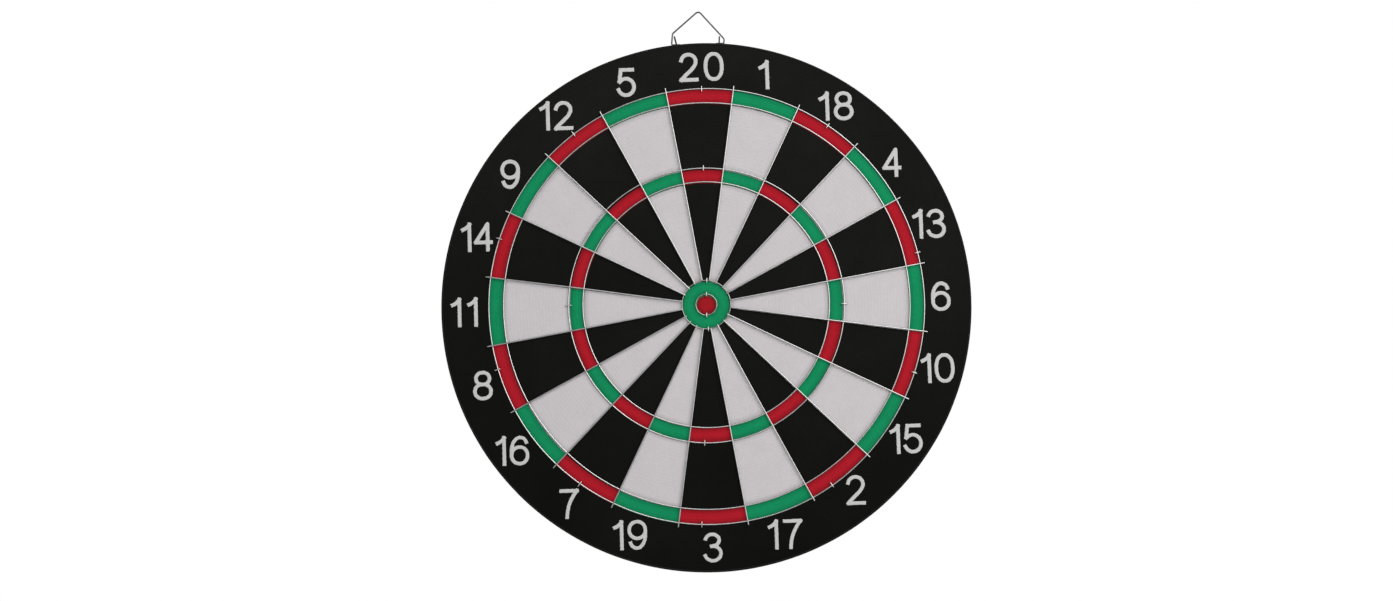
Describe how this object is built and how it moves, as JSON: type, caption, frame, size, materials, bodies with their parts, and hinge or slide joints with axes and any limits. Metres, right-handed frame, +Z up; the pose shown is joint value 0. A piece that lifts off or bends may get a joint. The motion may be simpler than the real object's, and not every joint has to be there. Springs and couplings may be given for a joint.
{
  "type": "dartboard",
  "caption": "Round flocked dartboard for pointed darts, with a stapled wire spider, a numbered outer ring and a swinging wire bail to hang it by.",
  "frame": {"origin": "centre of the flat rear face, on the axis through the bull", "axes": "+Z up towards the number 20 and the hanger bail, +Y out of the rear face towards the wall, so the scoring face looks along -Y and +X is to a player's right"},
  "size_m": [0.42, 0.0215, 0.4482],
  "materials": {
    "wound_paper": "matte kraft paper strip, wound into a coil",
    "edge_binding": "satin black binding tape",
    "scoring_flock": "flocked black field with off-white, red and green scoring areas",
    "rear_flock": "plain flocked black, with the wound strip faintly raised as a spiral",
    "spider_wire": "bright drawn steel wire, welded at the crossings",
    "staple_wire": "bright plated staple wire",
    "hanger_wire": "dull drawn steel wire, darker than the spider"
  },
  "bodies": {
    "board": {"paper_coil_core": "wound_paper", "rim_band": "edge_binding", "front_flocked_face": "scoring_flock", "rear_flocked_face": "rear_flock", "outer_double_ring_wire": "spider_wire", "inner_double_ring_wire": "spider_wire", "outer_treble_ring_wire": "spider_wire", "inner_treble_ring_wire": "spider_wire", "outer_bull_ring_wire": "spider_wire", "inner_bull_ring_wire": "spider_wire", "spoke_wire_20_1": "spider_wire", "spoke_wire_1_18": "spider_wire", "spoke_wire_18_4": "spider_wire", "spoke_wire_4_13": "spider_wire", "spoke_wire_13_6": "spider_wire", "spoke_wire_6_10": "spider_wire", "spoke_wire_10_15": "spider_wire", "spoke_wire_15_2": "spider_wire", "spoke_wire_2_17": "spider_wire", "spoke_wire_17_3": "spider_wire", "spoke_wire_3_19": "spider_wire", "spoke_wire_19_7": "spider_wire", "spoke_wire_7_16": "spider_wire", "spoke_wire_16_8": "spider_wire", "spoke_wire_8_11": "spider_wire", "spoke_wire_11_14": "spider_wire", "spoke_wire_14_9": "spider_wire", "spoke_wire_9_12": "spider_wire", "spoke_wire_12_5": "spider_wire", "spoke_wire_5_20": "spider_wire", "double_ring_staple_20": "staple_wire", "double_ring_staple_18": "staple_wire", "double_ring_staple_13": "staple_wire", "double_ring_staple_10": "staple_wire", "double_ring_staple_2": "staple_wire", "double_ring_staple_3": "staple_wire", "double_ring_staple_7": "staple_wire", "double_ring_staple_8": "staple_wire", "double_ring_staple_14": "staple_wire", "double_ring_staple_12": "staple_wire", "treble_ring_staple_20": "staple_wire", "treble_ring_staple_6": "staple_wire", "treble_ring_staple_3": "staple_wire", "treble_ring_staple_11": "staple_wire", "outer_bull_staple_top": "staple_wire", "outer_bull_staple_bottom": "staple_wire", "inner_bull_staple_top": "staple_wire", "inner_bull_staple_bottom": "staple_wire", "left_hanger_eye": "hanger_wire", "right_hanger_eye": "hanger_wire"},
    "bail": {"hanger_bail": "hanger_wire"}
  },
  "joints": [
    {"name": "bail_swing", "type": "hinge", "parent": "board", "child": "bail", "pos_m": [0, -0.0095, 0.2114], "axis": [1, 0, 0], "range_deg": [-95, 95]}
  ]
}
